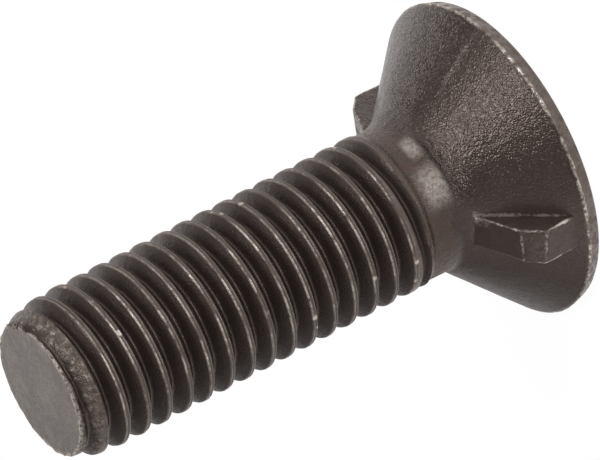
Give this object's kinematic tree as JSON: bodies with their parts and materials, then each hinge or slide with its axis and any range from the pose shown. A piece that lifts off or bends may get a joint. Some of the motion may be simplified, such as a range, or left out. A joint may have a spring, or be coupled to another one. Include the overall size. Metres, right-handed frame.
{
  "type": "plow bolt",
  "caption": "Flat countersunk bolt with a conical head, anti-turn nibs on the cone, a short plain neck and a rolled metric thread, for holding wear edges flush.",
  "frame": {"origin": "centre of the head's flat face, which the bolt stands on", "axes": "+Z along the bolt's axis from the head's face to the threaded tip, with the nibs along +X and -X"},
  "size_m": [0.0242, 0.0242, 0.0393],
  "materials": {
    "oxide_steel": "dark brown-black oxide, satin, worn lighter on its edges"
  },
  "bodies": {
    "root": {"plow_bolt": "oxide_steel"}
  },
  "joints": []
}
